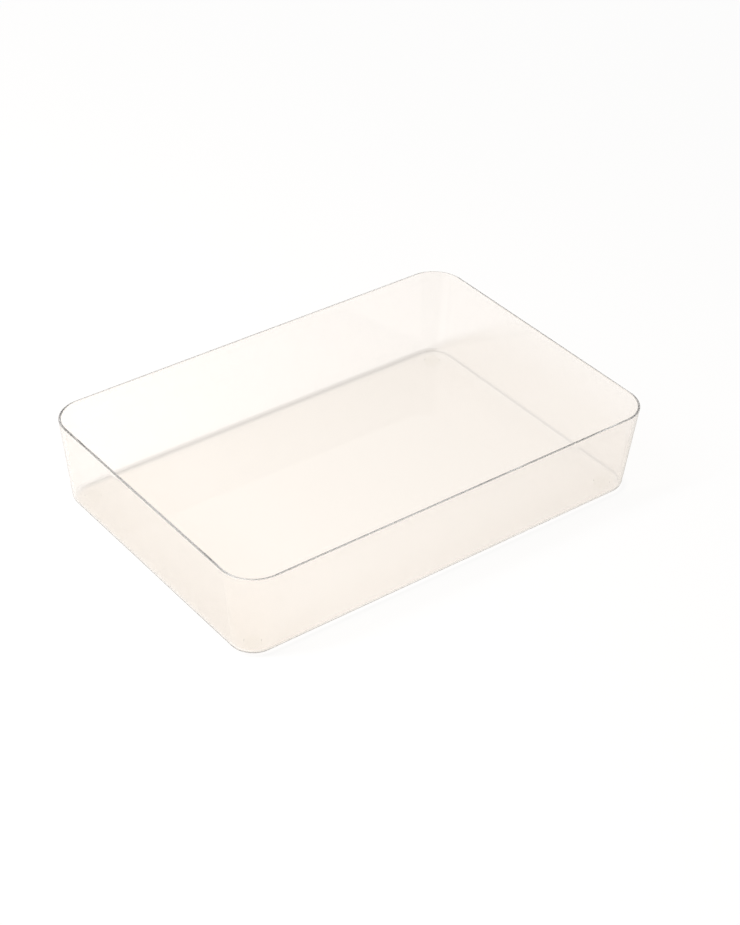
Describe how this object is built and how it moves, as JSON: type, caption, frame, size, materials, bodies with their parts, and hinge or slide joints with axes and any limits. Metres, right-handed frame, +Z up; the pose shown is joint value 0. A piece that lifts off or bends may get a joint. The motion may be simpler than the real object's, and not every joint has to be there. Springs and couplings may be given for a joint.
{
  "type": "drawer organizer bin",
  "caption": "Clear open rectangular tray with leaning thin walls, rounded corners and a plain rim, on stick-on anti-slip pads; sorts small things in a drawer.",
  "frame": {"origin": "middle of the bin in plan, on the surface that its pads stand on", "axes": "+X along the length, +Y from the front long wall to the back one, +Z up out of the open top"},
  "size_m": [0.24, 0.164, 0.048],
  "materials": {
    "clear_plastic": "clear moulded polystyrene, polished",
    "clear_silicone": "clear silicone, soft satin"
  },
  "bodies": {
    "root": {"bin": "clear_plastic", "front_left_pad": "clear_silicone", "front_right_pad": "clear_silicone", "back_left_pad": "clear_silicone", "back_right_pad": "clear_silicone"}
  },
  "joints": []
}
